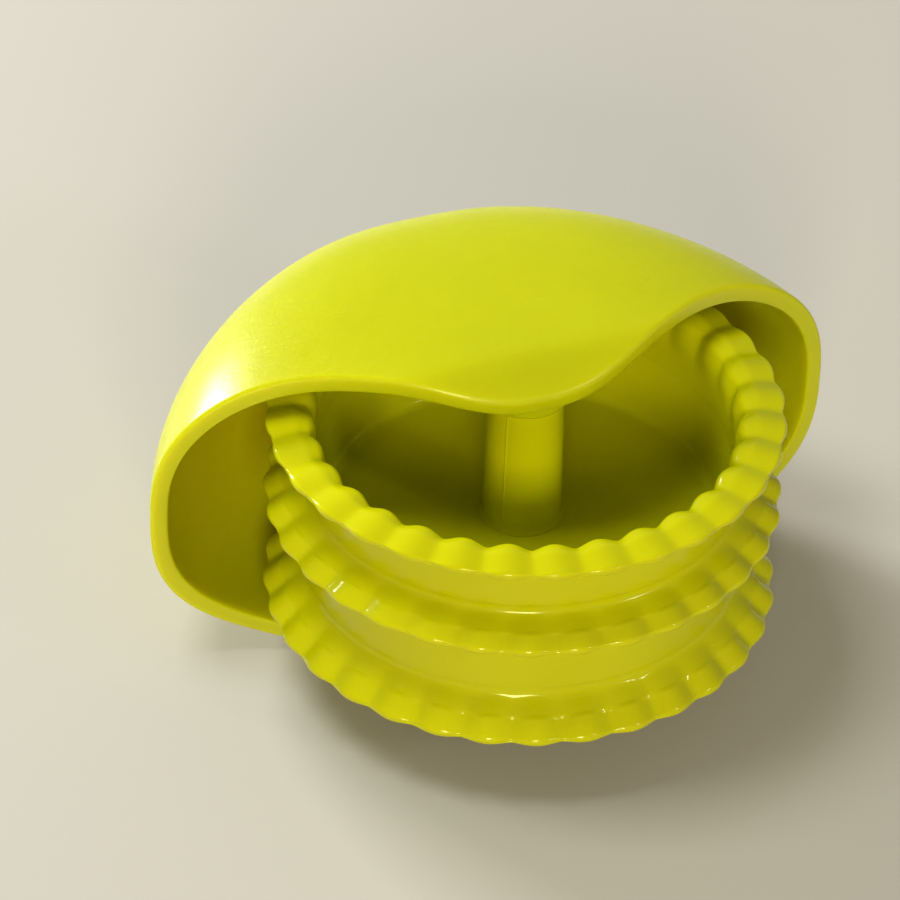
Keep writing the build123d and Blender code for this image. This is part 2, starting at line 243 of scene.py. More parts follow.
@dataclass(frozen=True)
class MouldedPlastic:
    """A tinted, slightly translucent moulded plastic.

    The colour drifts between two tones, the roughness follows the grain and the
    rub marks, and the grain's height makes the bump. The glow reach is how far red,
    green and blue light travel inside the plastic, as shares of its depth.
    """

    name: str
    tone: tuple[float, float, float]
    deep_tone: tuple[float, float, float]
    roughness: float
    rub_roughness: float
    grain_height: float
    fine_scale: float
    coarse_scale: float
    coarse_share: float
    translucency: float
    depth: float
    specular: float = 0.5
    gloss_tint: tuple[float, float, float] = (1.0, 1.0, 1.0)
    glow_reach: tuple[float, float, float] = (1.0, 0.74, 0.06)
    grain_roughness: float = 0.10
    refraction: float = 1.49

    def make(self, effects: SharedEffects) -> bpy.types.Material:
        """Build the material.

        Args:
            effects: Shared node groups.

        Returns:
            The finished material.
        """
        material = bpy.data.materials.new(self.name)
        material.use_nodes = True
        tree = material.node_tree
        shader = tree.nodes["Principled BSDF"]
        shader.inputs["IOR"].default_value = self.refraction
        shader.inputs["Specular IOR Level"].default_value = self.specular
        shader.inputs["Specular Tint"].default_value = (*self.gloss_tint, 1.0)
        shader.inputs["Subsurface Weight"].default_value = self.translucency
        shader.inputs["Subsurface Radius"].default_value = self.glow_reach
        shader.inputs["Subsurface Scale"].default_value = self.depth
        grain = tree.nodes.new("ShaderNodeGroup")
        grain.node_tree = effects.grain
        grain.inputs["Fine Scale"].default_value = self.fine_scale
        grain.inputs["Coarse Scale"].default_value = self.coarse_scale
        grain.inputs["Coarse Share"].default_value = self.coarse_share
        rubs = tree.nodes.new("ShaderNodeGroup")
        rubs.node_tree = effects.scratches
        flow = tree.nodes.new("ShaderNodeGroup")
        flow.node_tree = effects.flow
        self._colour(tree, shader, flow)
        spread = add_math(tree, "MULTIPLY", rubs.outputs["Mask"], self.rub_roughness)
        drift = add_math(tree, "MULTIPLY", grain.outputs["Mask"], self.grain_roughness)
        base = self.roughness - self.grain_roughness / 2
        rough = add_math(tree, "ADD", add_math(tree, "ADD", spread, drift), base)
        tree.links.new(rough, shader.inputs["Roughness"])
        bump = tree.nodes.new("ShaderNodeBump")
        bump.inputs["Distance"].default_value = self.grain_height
        height = add_math(tree, "SUBTRACT", grain.outputs["Height"], rubs.outputs["Mask"])
        tree.links.new(height, bump.inputs["Height"])
        tree.links.new(bump.outputs["Normal"], shader.inputs["Normal"])
        return material

    def _colour(self, tree: Tree, shader: Node, flow: Node) -> None:
        """Mix the two tones by the flow mask and send them to the shader.

        Args:
            tree: The material's node tree.
            shader: Its shader.
            flow: The flow group's node.
        """
        low, high = 0.3, 0.7
        mix = tree.nodes.new("ShaderNodeMix")
        mix.data_type = "RGBA"
        mix.inputs["A"].default_value = (*self.deep_tone, 1.0)
        mix.inputs["B"].default_value = (*self.tone, 1.0)
        span = tree.nodes.new("ShaderNodeMapRange")
        span.inputs["From Min"].default_value = low
        span.inputs["From Max"].default_value = high
        tree.links.new(flow.outputs["Mask"], span.inputs["Value"])
        tree.links.new(span.outputs["Result"], mix.inputs["Factor"])
        tree.links.new(mix.outputs["Result"], shader.inputs["Base Color"])


@dataclass(frozen=True)
class TurnedSteel:
    """Bright turned steel: rings from the lathe around the drum's axis."""

    name: str = "turned_steel"
    tone: tuple[float, float, float] = (0.56, 0.57, 0.58)
    roughness: float = 0.28
    rub_roughness: float = 0.2
    ring_roughness: float = 0.12
    ring_scale: float = 2200.0
    ring_height: float = 0.000008

    def make(self, effects: SharedEffects) -> bpy.types.Material:
        """Build the material.

        Args:
            effects: Shared node groups.

        Returns:
            The finished material.
        """
        material = bpy.data.materials.new(self.name)
        material.use_nodes = True
        tree = material.node_tree
        shader = tree.nodes["Principled BSDF"]
        shader.inputs["Metallic"].default_value = 1.0
        shader.inputs["Base Color"].default_value = (*self.tone, 1.0)
        place = tree.nodes.new("ShaderNodeTexCoord")
        rings = tree.nodes.new("ShaderNodeTexWave")
        rings.wave_type = "RINGS"
        rings.rings_direction = "Z"
        rings.inputs["Scale"].default_value = self.ring_scale
        tree.links.new(place.outputs["Object"], rings.inputs["Vector"])
        rubs = tree.nodes.new("ShaderNodeGroup")
        rubs.node_tree = effects.scratches
        spread = add_math(tree, "MULTIPLY", rubs.outputs["Mask"], self.rub_roughness)
        turned = add_math(tree, "MULTIPLY", rings.outputs["Fac"], self.ring_roughness)
        rough = add_math(tree, "ADD", add_math(tree, "ADD", spread, turned), self.roughness)
        tree.links.new(rough, shader.inputs["Roughness"])
        bump = tree.nodes.new("ShaderNodeBump")
        bump.inputs["Distance"].default_value = self.ring_height
        tree.links.new(rings.outputs["Fac"], bump.inputs["Height"])
        tree.links.new(bump.outputs["Normal"], shader.inputs["Normal"])
        return material


SHELL_PLASTIC = MouldedPlastic(
    name="shell_lime",
    tone=(0.490, 0.510, 0.0025),
    deep_tone=(0.470, 0.488, 0.0020),
    roughness=0.31,
    specular=0.45,
    gloss_tint=(1.0, 1.0, 0.6),
    rub_roughness=0.22,
    grain_height=0.000016,
    fine_scale=1900.0,
    coarse_scale=520.0,
    coarse_share=0.6,
    translucency=0.70,
    depth=0.0048,
)
DRUM_PLASTIC = MouldedPlastic(
    name="drum_lime",
    tone=(0.515, 0.520, 0.0025),
    deep_tone=(0.490, 0.488, 0.0015),
    roughness=0.14,
    specular=0.34,
    gloss_tint=(1.0, 1.0, 0.6),
    rub_roughness=0.18,
    grain_height=0.000006,
    fine_scale=900.0,
    coarse_scale=240.0,
    coarse_share=1.2,
    translucency=0.28,
    depth=0.0010,
)
BEARING_PLASTIC = MouldedPlastic(
    name="bearing_white",
    tone=(0.72, 0.71, 0.66),
    deep_tone=(0.66, 0.65, 0.60),
    roughness=0.42,
    rub_roughness=0.2,
    grain_height=0.000008,
    fine_scale=1500.0,
    coarse_scale=400.0,
    coarse_share=0.5,
    translucency=0.2,
    depth=0.001,
)


class Palette:
    """The finished materials, by record slot."""

    def __init__(self) -> None:
        """Build each finish once."""
        effects = SharedEffects()
        self.materials = {
            Slot.SHELL: SHELL_PLASTIC.make(effects),
            Slot.DRUM: DRUM_PLASTIC.make(effects),
            Slot.BEARING: BEARING_PLASTIC.make(effects),
            Slot.PIN: TurnedSteel().make(effects),
        }

    def dress(self, piece: Piece, slot: Slot) -> None:
        """Give a piece the material of its slot.

        Args:
            piece: The piece.
            slot: Its slot.
        """
        piece.data.materials.clear()
        piece.data.materials.append(self.materials[slot])


# Surfaces


def grid_piece(name: str, points: Array, closed_path: bool) -> Piece:
    """Make a mesh from a grid of points that closes around its second direction.

    Args:
        name: Name of the piece.
        points: Array of shape (path, around, 3). Along the path the solid lies on
            the left of the direction of travel in the (radius, height) half plane.
        closed_path: Whether the last row joins the first. Otherwise each end row
            closes in one point, the mean of its points.

    Returns:
        The linked object, smooth shaded.
    """
    rows, around = points.shape[:2]
    corner = np.arange(rows * around).reshape(rows, around)
    ahead = np.roll(corner, -1, axis=1)
    last = rows if closed_path else rows - 1
    below = np.roll(corner, -1, axis=0)
    below_ahead = np.roll(ahead, -1, axis=0)
    quads = np.stack([corner, ahead, below_ahead, below], axis=-1)[:last].reshape(-1, 4)
    vertices = points.reshape(-1, 3)
    faces = quads.tolist()
    if not closed_path:
        poles = np.stack([points[0].mean(axis=0), points[-1].mean(axis=0)])
        vertices = np.concatenate([vertices, poles])
        first = np.stack([ahead[0], corner[0], np.full(around, rows * around)], axis=-1)
        final = np.stack([corner[-1], ahead[-1], np.full(around, rows * around + 1)], axis=-1)
        faces += first.tolist() + final.tolist()
    mesh = bpy.data.meshes.new(name)
    mesh.from_pydata(vertices.tolist(), [], faces)
    mesh.polygons.foreach_set("use_smooth", np.ones(len(mesh.polygons), dtype=bool))
    mesh.set_sharp_from_angle(angle=CREASE_ANGLE)
    mesh.update()
    piece = bpy.data.objects.new(name, mesh)
    bpy.context.scene.collection.objects.link(piece)
    return piece


def rounded_loop(corners: Array, radii: Array) -> Array:
    """Round every corner of a closed outline.

    Each corner gives way to a quadratic curve that starts and ends at the corner's
    radius away from it, along its two edges, and takes less than half of an edge. A
    corner of no radius stays sharp.

    Args:
        corners: Array of shape (n, 2) with the outline's corners.
        radii: Array of shape (n,) with how far each rounding reaches.

    Returns:
        Array of shape (m, 2).
    """
    most, steps = 0.49, 6
    ends = []
    for neighbour in (1, -1):
        edge = np.roll(corners, neighbour, axis=0) - corners
        length = np.linalg.norm(edge, axis=1)
        reach = np.minimum(radii, most * length)
        ends.append(corners + edge / length[:, None] * reach[:, None])
    start, end = ends
    t = np.linspace(0.0, 1.0, steps)[None, :, None]
    curve = (
        (1 - t) ** 2 * start[:, None]
        + 2 * t * (1 - t) * corners[:, None]
        + t**2 * end[:, None]
    )
    keep = np.ones((len(corners), steps), dtype=bool)
    keep[radii <= 0.0, 1:] = False
    return curve[keep]


def dense_loop(outline: Array, spacing: float) -> Array:
    """Add points at even steps to a closed outline, dropping those that crowd the next one.

    Args:
        outline: Array of shape (n, 2).
        spacing: Largest step between two points.

    Returns:
        Array of shape (m, 2).
    """
    crowded = 0.15 * spacing
    ring = np.concatenate([outline, outline[:1]])
    run = np.concatenate([[0.0], np.cumsum(np.linalg.norm(np.diff(ring, axis=0), axis=1))])
    even = np.arange(0.0, run[-1], spacing)
    where = np.unique(np.round(np.concatenate([run[:-1], even]), 8))
    gaps = np.diff(where, append=run[-1])
    where = where[gaps > crowded]
    return np.stack([np.interp(where, run, ring[:, 0]), np.interp(where, run, ring[:, 1])], axis=1)


def turned_points(outline: Array, around: int) -> Array:
    """Turn a (radius, height) outline about the drum's axis.

    Args:
        outline: Array of shape (n, 2).
        around: Number of steps round the axis.

    Returns:
        Array of shape (n, around, 3).
    """
    angle = np.linspace(0.0, 2 * math.pi, around, endpoint=False)
    radius, height = outline[:, :1], outline[:, 1:]
    x, y = radius * np.cos(angle), radius * np.sin(angle)
    return np.stack([x, y, np.broadcast_to(height, x.shape)], axis=-1)


def turned_piece(name: str, corners: Array, radii: Array, around: int) -> Piece:
    """Make a turned ring from the corners of its section, each with its rounding."""
    outline = dense_loop(rounded_loop(corners, radii), TURNED_SPACING)
    return grid_piece(name, turned_points(outline, around), closed_path=True)


# Palm shell


@dataclass
class PalmShell:
    """Domed palm shell, open in front, with two ears and two lobes.

    A section across the open direction is an oval with blunt ends, whose half
    width and half height fall off towards the back. The rim is where the shell
    meets a waved surface over a plan curve, bowed a little with the height.
    """

    half_length: float = 0.0438
    half_height: float = 0.0217
    back_reach: float = 0.0414
    widest_y: float = 0.0005
    wall: float = 0.0021
    section_roundness: float = 2.7
    plan_roundness: float = 1.8
    side_roundness: float = 3.0
    droop_roundness: float = 1.8
    droop_reach: float = 0.0150
    ear_rim_y: float = 0.0075
    ear_rim_curve: float = -0.0006
    ear_rim_slope: float = 0.0027
    lobe_tip_y: float = -0.0059
    lobe_half_width: float = 0.0203
    lobe_sharpness: float = 2.4
    rest_flat_depth: float = 0.0006
    outer_round: float = 0.00055
    inner_round: float = 0.00030
    boss_radius: float = 0.0050
    boss_bore: float = 0.00203
    boss_flare: float = 0.0014
    boss_edge: float = 0.0003
    boss_edge_cut: float = 0.0001
    boss_sink: float = 0.0006
    washer_proud: float = 0.00008
    pin_bore: float = 0.00204
    pin_head_height: float = 0.00124
    around: int = 400
    outer_rows: int = 96
    inner_rows: int = 60
    rim_step: float = 0.0005

    @property
    def middle(self) -> float:
        """Height of the shell's middle plane."""
        return self.half_height - self.rest_flat_depth

    def half_sizes(self, y: Array, inset: float) -> tuple[Array, Array]:
        """Half width and half height of the section at y.

        Each is the full half size times the power-law fall-off
        (1 - share ** roundness) ** (1 / roundness), where share is the distance
        behind the widest section over the reach to the back. In front of the
        widest section the half height droops by the same law.

        Args:
            y: Distances along the open direction.
            inset: Distance in from the outer surface.

        Returns:
            Half widths and half heights.
        """
        back = self.back_reach - inset - self.widest_y
        share = np.clip((y - self.widest_y) / back, 0.0, 1.0)
        droop = np.clip((self.widest_y - y) / self.droop_reach, 0.0, 1.0)
        plan = (1 - share**self.plan_roundness) ** (1 / self.plan_roundness)
        side = (1 - share**self.side_roundness) ** (1 / self.side_roundness)
        fall = (1 - droop**self.droop_roundness) ** (1 / self.droop_roundness)
        return (self.half_length - inset) * plan, (self.half_height - inset) * side * fall

    def surface(self, angle: Array, y: Array, inset: float) -> Array:
        """Points of the shell's surface.

        A point is (half width * cos, y, half height * sin) pushed out by
        (|cos| ** n + |sin| ** n) ** (-1 / n), with n the section's roundness.

        Args:
            angle: Angles round the section.
            y: Distances along the open direction, of a shape that goes with angle.
            inset: Distance in from the outer surface.

        Returns:
            Array with a last axis of three.
        """
        half_width, half_height = self.half_sizes(y, inset)
        n = self.section_roundness
        push = (np.abs(np.cos(angle)) ** n + np.abs(np.sin(angle)) ** n) ** (-1 / n)
        x = half_width * np.cos(angle) * push
        z = self.middle + half_height * np.sin(angle) * push
        return np.stack(np.broadcast_arrays(x, y, z), axis=-1)

    def rim_y(self, x: Array, z: Array) -> Array:
        """Y of the waved cut: the ears' line, drawn forward to the lobe by exp(-|x/w| ** s).

        Args:
            x: Places along the shell's length.
            z: Heights.

        Returns:
            Y at each place.
        """
        lobe = np.exp(-((np.abs(x) / self.lobe_half_width) ** self.lobe_sharpness))
        height = (z - self.middle) / self.half_height
        ear = self.ear_rim_y + self.ear_rim_curve * (1 - height**2)
        ear += self.ear_rim_slope * (x / self.half_length) ** 2
        return ear + (self.lobe_tip_y - ear) * lobe

    def rim(self, angle: Array, inset: float) -> Array:
        """Y of the rim, found by averaging it with the cut's own formula until it settles.

        Args:
            angle: Angles round the section.
            inset: Distance in from the outer surface.

        Returns:
            Y at each angle.
        """
        tries = 60
        y = np.full_like(angle, self.ear_rim_y)
        for _ in range(tries):
            point = self.surface(angle, y, inset)
            y = 0.5 * y + 0.5 * self.rim_y(point[..., 0], point[..., 2])
        return y

    def wall_rows(self, angle: Array, start: Array, inset: float, rows: int) -> Array:
        """Rows of a wall from its start to its back pole, closer together near the pole."""
        share = np.sin(np.linspace(0.0, math.pi / 2, rows + 1)[:-1])[:, None]
        return self.surface(angle, start + (self.back_reach - inset - start) * share, inset)

    def quarter_round(self, start: Array, corner: Array, end: Array, steps: int) -> Array:
        """Quarter round from start past a corner to end: o + (start - o) cos + (end - o) sin.

        Its centre o is start + end - corner.

        Args:
            start: Points where it starts.
            corner: Points that it rounds off.
            end: Points where it ends.
            steps: Number of rows.

        Returns:
            Array of shape (steps, around, 3).
        """
        centre = start + end - corner
        t = np.linspace(0.0, math.pi / 2, steps)[:, None, None]
        return centre + (start - centre) * np.cos(t) + (end - centre) * np.sin(t)

    def points(self) -> Array:
        """All rows of the shell, none of which goes below the plane that it rests on.

        Returns:
            Rows of the outer wall from the back, of the flat lip and of the inner wall.
        """
        lip_steps, outer_steps, inner_steps = 6, 9, 7
        angle = np.linspace(0.0, 2 * math.pi, self.around, endpoint=False)
        outer_rim, inner_rim = self.rim(angle, 0.0), self.rim(angle, self.wall)
        outer_edge = self.surface(angle, outer_rim, 0.0)
        inner_edge = self.surface(angle, inner_rim, self.wall)
        outer_start = self.start_behind(angle, outer_rim, 0.0, self.outer_round)
        inner_start = self.start_behind(angle, inner_rim, self.wall, self.inner_round)
        outer = self.wall_rows(angle, outer_start, 0.0, self.outer_rows)
        inner = self.wall_rows(angle, inner_start, self.wall, self.inner_rows)
        across = inner_edge - outer_edge
        across /= np.linalg.norm(across, axis=-1, keepdims=True)
        face_out = outer_edge + across * self.outer_round
        face_in = inner_edge - across * self.inner_round
        share = np.linspace(0.0, 1.0, lip_steps)[1:-1, None, None]
        face = face_out + (face_in - face_out) * share
        lip_out = self.quarter_round(outer[0], outer_edge, face_out, outer_steps)
        lip_in = self.quarter_round(face_in, inner_edge, inner[0], inner_steps)
        rows = np.concatenate([outer[::-1], lip_out[1:], face, lip_in, inner[1:]])
        rows[..., 2] = np.maximum(rows[..., 2], 0.0)
        return rows

    def start_behind(self, angle: Array, rim: Array, inset: float, reach: float) -> Array:
        """Y where a wall takes over from the lip's rounding, a reach behind the rim."""
        ahead = self.surface(angle, rim + self.rim_step, inset) - self.surface(angle, rim, inset)
        return rim + reach * self.rim_step / np.linalg.norm(ahead, axis=-1)

    def build(self, palette: Palette) -> list[Piece]:
        """Make the shell with its pin pocket and its two bosses.

        Args:
            palette: Finished materials.

        Returns:
            The new pieces.
        """
        shell = grid_piece("palm_shell", self.points(), closed_path=False)
        self.cut_pocket(shell)
        palette.dress(shell, Slot.SHELL)
        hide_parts("handle_shell")
        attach(shell, Body.HANDLE.value)
        pieces = [shell]
        for side, name in ((1, "upper_boss"), (-1, "lower_boss")):
            boss = self.boss(name, side)
            palette.dress(boss, Slot.SHELL)
            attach(boss, Body.HANDLE.value)
            pieces.append(boss)
        return pieces

    def cut_pocket(self, shell: Piece) -> None:
        """Cut the axle pin's pocket and bore into the lower lobe with a boolean.

        Args:
            shell: The shell, whose mesh is replaced.
        """
        plug_low, plug_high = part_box("axle_plug")
        washer_low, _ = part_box("lower_washer")
        pin_low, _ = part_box("axle_pin")
        pocket = (plug_high.x - plug_low.x) / 2 + SEAT_SLACK
        head_top = pin_low.z + self.pin_head_height
        below, above, steps = -0.002, washer_low.z + 0.001, 96
        corners = np.array([
            (0.0, below), (pocket, below), (pocket, head_top), (self.pin_bore, head_top),
            (self.pin_bore, above), (0.0, above),
        ])
        cutter = grid_piece("pocket_cutter", turned_points(corners, steps), closed_path=False)
        cut = shell.modifiers.new("pocket", "BOOLEAN")
        cut.operation = "DIFFERENCE"
        cut.solver = "EXACT"
        cut.object = cutter
        depsgraph = bpy.context.evaluated_depsgraph_get()
        finished = bpy.data.meshes.new_from_object(shell.evaluated_get(depsgraph))
        shell.modifiers.clear()
        shell.data = finished
        bpy.data.objects.remove(cutter)

    def boss(self, name: str, side: int) -> Piece:
        """Boss on the inside of a lobe, flared where it grows out of the wall.

        The side runs from the face to the wall at each angle, and its radius grows
        by flare * share ** 6 towards the wall. The flare falls to nothing towards the
        rim, with (sin + 0.7) / 1.2. The wall's height over the middle plane is
        half height * (1 - |x / half width| ** n) ** (1 / n), n the section's roundness.

        Args:
            name: Name of the piece.
            side: 1 for the upper lobe, -1 for the lower one.

        Returns:
            The boss, which ends just inside the wall.
        """
        washer_low, washer_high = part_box("upper_washer" if side > 0 else "lower_washer")
        near = washer_low.z if side > 0 else washer_high.z
        face = side * (near - self.middle) + self.washer_proud
        seat = (washer_high.x - washer_low.x) / 2 + SEAT_SLACK
        depth = washer_high.z - washer_low.z - self.washer_proud
        around, rows = 128, 24
        angle = np.linspace(0.0, 2 * math.pi, around, endpoint=False)[None, :]
        share = np.linspace(0.0, 1.0, rows)[:, None]
        flare = self.boss_flare * np.clip((np.sin(angle) + 0.7) / 1.2, 0.0, 1.0)
        edge = np.array([
            (self.boss_bore, depth), (seat, depth), (seat, 0.0),
            (self.boss_radius - self.boss_edge, 0.0),
            (self.boss_radius - self.boss_edge_cut, self.boss_edge_cut),
        ])
        grown = self.boss_radius + flare * share**6
        bore = np.full((1, around), self.boss_bore)
        radius = np.concatenate([np.repeat(edge[:, :1], around, axis=1), grown, bore])
        x, y = radius * np.cos(angle), radius * np.sin(angle)
        half_width, half_height = self.half_sizes(y, self.wall - self.boss_sink)
        n = self.section_roundness
        root = half_height * (1 - np.abs(x / half_width) ** n) ** (1 / n)
        rise = self.boss_edge + share * (root[len(edge):-1] - face - self.boss_edge)
        up = np.concatenate([np.repeat(edge[:, 1:], around, axis=1), rise, rise[-1:]])
        points = np.stack([x, y, self.middle + side * (face + up)], axis=-1)
        return grid_piece(name, points if side > 0 else points[::-1], closed_path=True)


# Drum


@dataclass
class DrumCore:
    """Web and cup walls in one moulding, with soft inside corners."""

    floor_radius: float = 0.0229
    lower_cup_inset: float = 0.0005
    corner_round: float = 0.0011
    edge_round: float = 0.0002
    hole_radius: float = 0.00353
    around: int = 256

    def build(self, palette: Palette) -> list[Piece]:
        """Make the core in place of its CAD node.

        Args:
            palette: Finished materials.

        Returns:
            The new piece.
        """
        low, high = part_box("drum_core")
        outside, top = high.x, high.z + CORE_TOP_RISE
        corners = np.array([
            (self.hole_radius, WEB_BOTTOM), (self.floor_radius, WEB_BOTTOM),
            (CUP_RADIUS - self.lower_cup_inset, low.z), (outside, low.z), (outside, top),
            (CUP_RADIUS, top), (self.floor_radius, WEB_TOP), (self.hole_radius, WEB_TOP),
        ])
        soft, edge, joint = self.corner_round, self.edge_round, 0.0
        radii = np.array([edge, soft, edge, edge, joint, joint, soft, edge])
        core = turned_piece("cup_core", corners, radii, self.around)
        palette.dress(core, Slot.DRUM)
        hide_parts("drum_core")
        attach(core, Body.DRUM.value)
        return [core]


@dataclass
class Post:
    """Tapered post with a raised ring at its foot and a fine mould line down its side."""

    node: str
    side: int
    foot_radius: float = 0.00465
    tip_radius: float = 0.00435
    ring_radius: float = 0.00495
    ring_height: float = 0.00035
    bore_radius: float = 0.0024
    seat_radius: float = 0.00313
    seat_depth: float = 0.00753
    flange_radius: float = 0.00363
    flange_depth: float = 0.00053
    fine_round: float = 0.00005
    ring_round: float = 0.00018
    foot_round: float = 0.00022
    end_round: float = 0.00015
    line_angle: float = math.radians(-140.6)
    line_height: float = 0.00008
    line_width: float = 0.00010
    line_margin: float = 0.0003
    around: int = 720

    def build(self, palette: Palette) -> list[Piece]:
        """Make the post in place of its CAD node.

        Args:
            palette: Finished materials.

        Returns:
            The new piece.
        """
        low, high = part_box(self.node)
        upward = self.side > 0
        foot, end = (WEB_TOP, high.z) if upward else (WEB_BOTTOM, low.z)
        ring = foot + self.side * self.ring_height
        seat, floor = end - self.side * self.seat_depth, end - self.side * self.flange_depth
        corners = np.array([
            (self.bore_radius, foot), (self.ring_radius, foot), (self.ring_radius, ring),
            (self.foot_radius, ring), (self.tip_radius, end), (self.flange_radius, end),
            (self.flange_radius, floor), (self.seat_radius, floor),
            (self.seat_radius, seat), (self.bore_radius, seat),
        ])
        radii = np.full(len(corners), self.fine_round)
        radii[2:5] = self.ring_round, self.foot_round, self.end_round
        if not upward:
            corners, radii = corners[::-1], radii[::-1]
        outline = dense_loop(rounded_loop(corners, radii), TURNED_SPACING)
        points = self.with_mould_line(turned_points(outline, self.around))
        post = grid_piece(self.node + "_moulding", points, closed_path=True)
        palette.dress(post, Slot.DRUM)
        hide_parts(self.node)
        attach(post, Body.DRUM.value)
        return [post]

    def with_mould_line(self, points: Array) -> Array:
        """Raise a hairline ridge along the outside, as a bell curve of the angle.

        Args:
            points: Grid of the post's points.

        Returns:
            The grid with the ridge, which the sockets inside the post don't get.
        """
        radius = np.hypot(points[..., 0], points[..., 1])
        angle = np.arctan2(points[..., 1], points[..., 0])
        off = np.angle(np.exp(1j * (angle - self.line_angle))) * radius / self.line_width
        outside = radius > self.flange_radius + self.line_margin
        grow = 1 + np.exp(-(off**2)) * self.line_height * outside / radius
        return points * np.stack([grow, grow, np.ones_like(radius)], axis=-1)


@dataclass
class FlutedWheel:
    """Wheel with a fluted brim, whose section swells and sinks round the rim."""

    node: str
    name: str
    phase: float
    flutes: int = 32
    valley_softness: float = 0.32
    lip_radius: float = 0.02966
    underside: float = 0.0010
    slope_reach: float = 0.0006
    slope_drop: float = 0.0001
    lip_round: float = 0.00022
    edge_round: float = 0.0003

    def wave(self, angle: Array) -> Array:
        """Flute wave: broad crowns and narrow valleys, from -1 to 1.

        It is sqrt(cos(n a / 2 + p / 2) ** 2 + softness ** 2), brought to that range,
        with n the number of flutes, a the angle and p the phase.

        Args:
            angle: Angles round the axis.

        Returns:
            Wave at each angle.
        """
        bare = np.sqrt(np.cos(self.flutes * angle / 2 + self.phase / 2) ** 2 + self.valley_softness**2)
        top = math.sqrt(1 + self.valley_softness**2)
        return 2 * (bare - self.valley_softness) / (top - self.valley_softness) - 1

    def fluted(self, outline: Array, swell: Array) -> Array:
        """Turn an outline whose points move along their normals with the flute wave.

        The normals point to the right of the direction of travel.

        Args:
            outline: Section as (radius, height) points.
            swell: How far each point moves at a crown.

        Returns:
            Array of shape (n, around, 3).
        """
        angle = np.linspace(0.0, 2 * math.pi, DRUM_STEPS, endpoint=False)
        push = swell[:, None] * self.wave(angle)[None, :]
        along = np.roll(outline, -1, axis=0) - np.roll(outline, 1, axis=0)
        along /= np.linalg.norm(along, axis=1)[:, None]
        radius = outline[:, :1] + along[:, 1:] * push
        height = outline[:, 1:] - along[:, :1] * push
        return np.stack([radius * np.cos(angle), radius * np.sin(angle), height], axis=-1)

    def finish(self, points: Array, palette: Palette) -> list[Piece]:
        """Make the wheel's mesh in place of its CAD node.

        Args:
            points: Grid of the wheel's points.
            palette: Finished materials.

        Returns:
            The new piece.
        """
        wheel = grid_piece(self.name, points, closed_path=True)
        palette.dress(wheel, Slot.DRUM)
        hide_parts(self.node)
        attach(wheel, Body.DRUM.value)
        return [wheel]


@dataclass
class BrimWheel(FlutedWheel):
    """Middle or lower wheel: a brim of two bands that meet in a ridge, and a soft groove corner."""

    lip: float = MIDDLE_LIP
    corner_rise: float = 0.0023
    ridge_inset: float = 0.0017
    ridge_rise: float = 0.0014
    half_lip: float = 0.00030
    under_reach: float = 0.0012
    under_round: float = 0.0008
    corner_round: float = 0.0010
    neck: float = 0.0001
    swell_lip: float = 0.00034
    ledge_radius: float = 0.0
    ledge_thickness: float = 0.0008
    ledge_rounds: tuple[float, float] = (0.0001, 0.0002)

    @property
    def top(self) -> float:
        """Height of the wheel's upper joint, just over the groove corner's rounding."""
        return self.lip + self.corner_rise + self.corner_round + self.neck

    def build(self, palette: Palette) -> list[Piece]:
        """Make the wheel from its section, with a ledge under the core if it has one.

        Args:
            palette: Finished materials.

        Returns:
            The new piece.
        """
        lip, low = self.lip, self.lip - self.underside
        ridge = (self.lip_radius - self.ridge_inset, lip + self.ridge_rise)
        corners = [
            (SEAT_RADIUS, low), (GROOVE_RADIUS + self.under_reach, low),
            (self.lip_radius - self.slope_reach, lip - self.half_lip - self.slope_drop),
            (self.lip_radius, lip - self.half_lip), (self.lip_radius, lip + self.half_lip),
            ridge, (GROOVE_RADIUS, lip + self.corner_rise), (GROOVE_RADIUS, self.top),
            (SEAT_RADIUS, self.top),
        ]
        joint = 0.0
        radii = [
            joint, self.under_round, self.edge_round, self.lip_round, self.lip_round,
            self.edge_round, self.corner_round, joint, joint,
        ]
        if self.ledge_radius:
            inner = low + self.ledge_thickness
            corners[0] = (self.ledge_radius, low)
            corners += [(SEAT_RADIUS, inner), (self.ledge_radius, inner)]
            radii += self.ledge_rounds
        outline = dense_loop(rounded_loop(np.array(corners), np.array(radii)), WHEEL_SPACING)
        return self.finish(self.fluted(outline, self.swell(outline)), palette)

    def swell(self, outline: Array) -> Array:
        """Swell that is full on the outer band and steps down at the ridge to none at the groove.

        Args:
            outline: Section as (radius, height) points.

        Returns:
            How far each point moves at a crown.
        """
        radius, height = outline[:, 0], outline[:, 1]
        ridge = self.lip_radius - self.ridge_inset
        start, most, power = 0.0002, 0.62, 0.6
        inner = most * np.clip((radius - GROOVE_RADIUS - start) / (ridge - GROOVE_RADIUS), 0, 1) ** power
        ahead, step = 0.00025, 0.0004
        outer = np.clip((radius - ridge + ahead) / step, 0, 1)
        under, rise, least = 0.0002, 0.0005, 0.25
        topside = np.clip((height - self.lip + self.half_lip + under) / rise, 0, 1)
        return self.swell_lip * (least + (1 - least) * topside) * (inner + (1 - inner) * outer)


